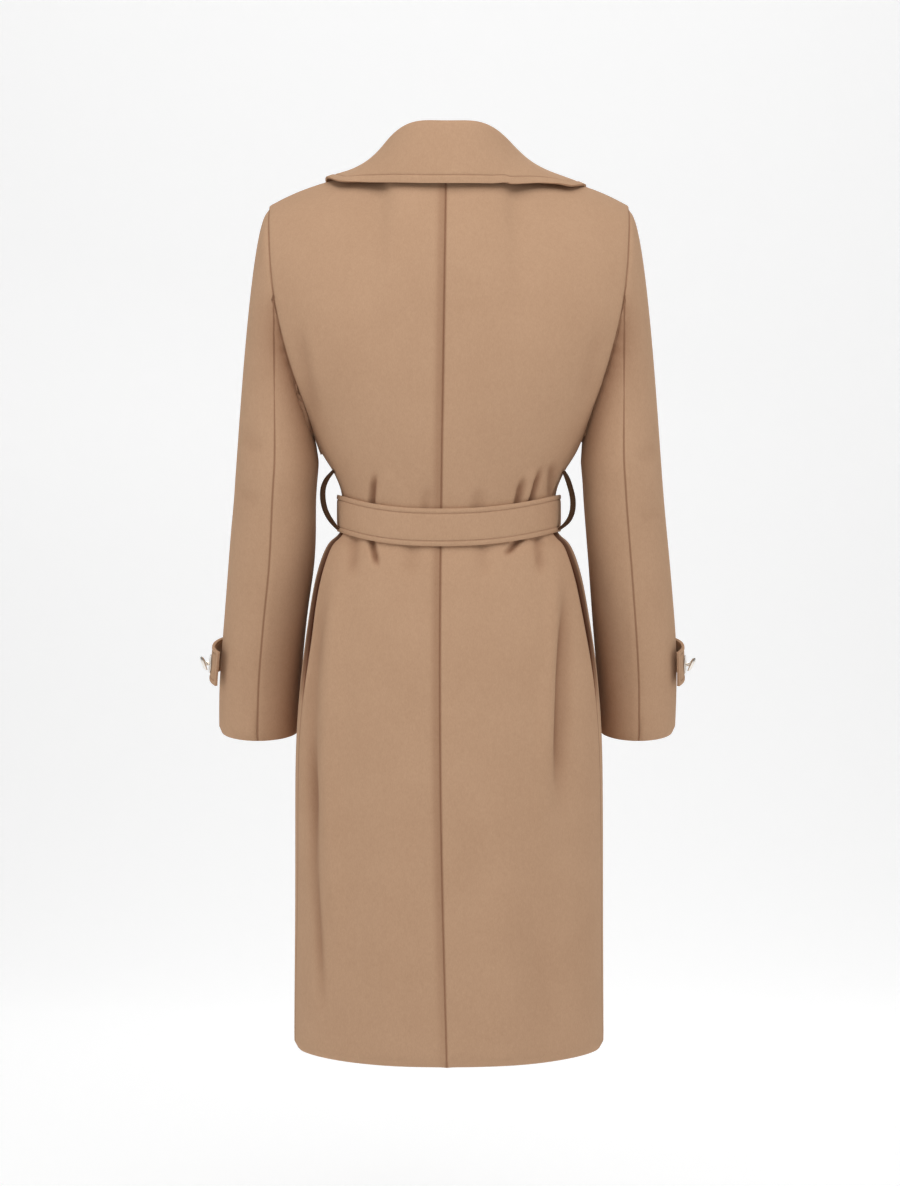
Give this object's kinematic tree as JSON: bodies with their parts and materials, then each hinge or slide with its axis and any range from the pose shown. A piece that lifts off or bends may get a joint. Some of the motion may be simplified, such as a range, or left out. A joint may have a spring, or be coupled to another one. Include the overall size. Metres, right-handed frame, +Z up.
{
  "type": "belted overcoat",
  "caption": "Knee-length belted wool overcoat in camel, filled out as if worn: wide turned-down collar, wrapped front, set-in sleeves with cuff tabs, closed waist belt.",
  "frame": {"origin": "middle of the neck hole, level with the top of the shoulders, where a wearer's neck or a stand's neck block holds the coat", "axes": "+Z up, +Y the way the wearer faces, +X the wearer's right"},
  "size_m": [0.5828, 0.2773, 1.079],
  "materials": {
    "wool_cloth": "brushed camel wool, matt",
    "pale_metal": "polished pale metal"
  },
  "bodies": {
    "root": {"back_left": "wool_cloth", "back_right": "wool_cloth", "front_left": "wool_cloth", "front_right": "wool_cloth", "top_sleeve_left": "wool_cloth", "top_sleeve_right": "wool_cloth", "under_sleeve_left": "wool_cloth", "under_sleeve_right": "wool_cloth", "collar": "wool_cloth", "lapel_left": "wool_cloth", "lapel_right": "wool_cloth", "belt": "wool_cloth", "belt_knot": "wool_cloth", "belt_end_long": "wool_cloth", "belt_end_short": "wool_cloth", "carrier_left": "wool_cloth", "carrier_right": "wool_cloth", "cuff_tab_left": "wool_cloth", "cuff_tab_right": "wool_cloth", "turnlock_plate_left": "pale_metal", "turnlock_plate_right": "pale_metal", "turnlock_toggle_left": "pale_metal", "turnlock_toggle_right": "pale_metal"}
  },
  "joints": []
}
